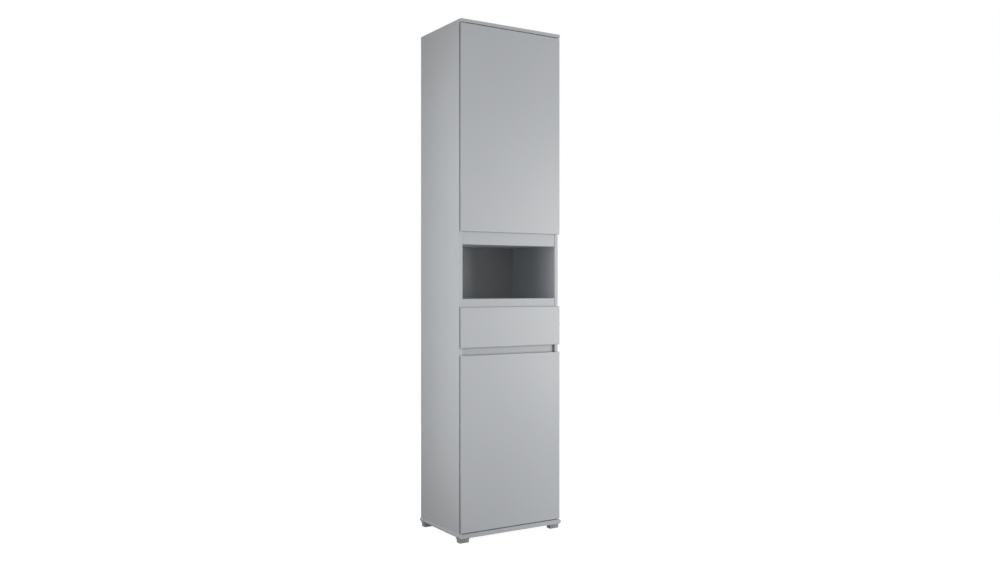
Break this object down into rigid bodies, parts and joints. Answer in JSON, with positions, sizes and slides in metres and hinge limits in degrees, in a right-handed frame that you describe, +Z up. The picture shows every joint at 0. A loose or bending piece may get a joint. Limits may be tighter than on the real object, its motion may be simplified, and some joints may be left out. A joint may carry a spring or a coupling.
{
  "type": "tall bathroom storage cabinet",
  "caption": "Tall free-standing bathroom cabinet with an upper door, an open niche, a drawer on roller runners and a lower door.",
  "frame": {"origin": "on the floor, under the middle of the cabinet's width and depth", "axes": "+Z up, +X to the right seen from the front, -Y out of the fronts"},
  "size_m": [0.448, 0.314, 1.9],
  "materials": {
    "carcass_board": "matt light grey-white melamine",
    "front_board": "smooth satin light grey-white foil on MDF",
    "back_board": "thin hardboard, light film on the inner face",
    "drawer_board": "light melamine",
    "beech": "raw fluted beech",
    "zinc_steel": "zinc plated or nickel plated",
    "runner_enamel": "white epoxy enamel",
    "nylon": "white nylon",
    "foot_plastic": "mid-grey moulded plastic",
    "clear_bumper": "soft translucent pad"
  },
  "bodies": {
    "carcass": {"side_panel_left": "carcass_board", "side_panel_right": "carcass_board", "top_panel": "carcass_board", "base_panel": "carcass_board", "niche_lintel_board": "carcass_board", "niche_lintel_rail": "carcass_board", "niche_sill_board": "carcass_board", "niche_sill_rail": "carcass_board", "divider_board": "carcass_board", "grip_rail": "carcass_board", "back_panel_upper": "back_board", "back_panel_lower": "back_board", "back_panel_nails": "zinc_steel", "upper_shelf_boards": "carcass_board", "lower_shelf_board": "carcass_board", "shelf_pins": "zinc_steel", "wood_dowels": "beech", "cam_discs": "zinc_steel", "cam_bolts": "zinc_steel", "hinge_arms": "zinc_steel", "mounting_plates": "zinc_steel", "plate_screws": "zinc_steel", "hinge_fixing_screws": "zinc_steel", "cabinet_runner_left": "runner_enamel", "cabinet_runner_right": "runner_enamel", "runner_screws": "zinc_steel", "foot_front_left": "foot_plastic", "foot_front_right": "foot_plastic", "foot_back_left": "foot_plastic", "foot_back_right": "foot_plastic", "foot_screws": "zinc_steel", "wall_bracket": "zinc_steel", "bracket_screws": "zinc_steel"},
    "upper_door": {"upper_door": "front_board", "upper_hinge_cups": "zinc_steel", "upper_hinge_pins": "zinc_steel", "upper_cup_screws": "zinc_steel", "upper_door_bumpers": "clear_bumper"},
    "lower_door": {"lower_door": "front_board", "lower_hinge_cups": "zinc_steel", "lower_hinge_pins": "zinc_steel", "lower_cup_screws": "zinc_steel", "lower_door_bumpers": "clear_bumper"},
    "drawer": {"drawer_front": "front_board", "drawer_side_left": "drawer_board", "drawer_side_right": "drawer_board", "drawer_inner_front": "drawer_board", "drawer_back": "drawer_board", "drawer_bottom": "back_board", "drawer_front_screws": "zinc_steel", "drawer_bumpers": "clear_bumper", "drawer_runner_left": "runner_enamel", "drawer_runner_right": "runner_enamel", "drawer_runner_screws": "zinc_steel"},
    "cabinet_roller_left": {"cabinet_roller_left": "nylon"},
    "cabinet_roller_right": {"cabinet_roller_right": "nylon"},
    "drawer_roller_left": {"drawer_roller_left": "nylon"},
    "drawer_roller_right": {"drawer_roller_right": "nylon"}
  },
  "joints": [
    {"name": "upper_door_hinge", "type": "hinge", "parent": "carcass", "child": "upper_door", "pos_m": [0.2124, -0.1522, 1.508], "axis": [0, 0, 1], "range_deg": [0, 100]},
    {"name": "lower_door_hinge", "type": "hinge", "parent": "carcass", "child": "lower_door", "pos_m": [0.2124, -0.1522, 0.358], "axis": [0, 0, 1], "range_deg": [0, 100]},
    {"name": "drawer_slide", "type": "slide", "parent": "carcass", "child": "drawer", "axis": [0, -1, 0], "range_m": [0, 0.2]},
    {"name": "cabinet_roller_left_spin", "type": "hinge", "parent": "carcass", "child": "cabinet_roller_left", "pos_m": [-0.1975, -0.129, 0.73955], "axis": [1, 0, 0], "range_deg": [0, 1274.2]},
    {"name": "drawer_roller_left_spin", "type": "hinge", "parent": "drawer", "child": "drawer_roller_left", "pos_m": [-0.1975, 0.097, 0.73955], "axis": [1, 0, 0], "range_deg": [0, 1274.2]},
    {"name": "cabinet_roller_right_spin", "type": "hinge", "parent": "carcass", "child": "cabinet_roller_right", "pos_m": [0.1975, -0.129, 0.73955], "axis": [1, 0, 0], "range_deg": [0, 1274.2]},
    {"name": "drawer_roller_right_spin", "type": "hinge", "parent": "drawer", "child": "drawer_roller_right", "pos_m": [0.1975, 0.097, 0.73955], "axis": [1, 0, 0], "range_deg": [0, 1274.2]}
  ],
  "couplings": [
    {"joint": "cabinet_roller_left_spin", "follows": "drawer_slide", "rad_per_m": 111.11},
    {"joint": "drawer_roller_left_spin", "follows": "drawer_slide", "rad_per_m": 111.11},
    {"joint": "cabinet_roller_right_spin", "follows": "drawer_slide", "rad_per_m": 111.11},
    {"joint": "drawer_roller_right_spin", "follows": "drawer_slide", "rad_per_m": 111.11}
  ]
}
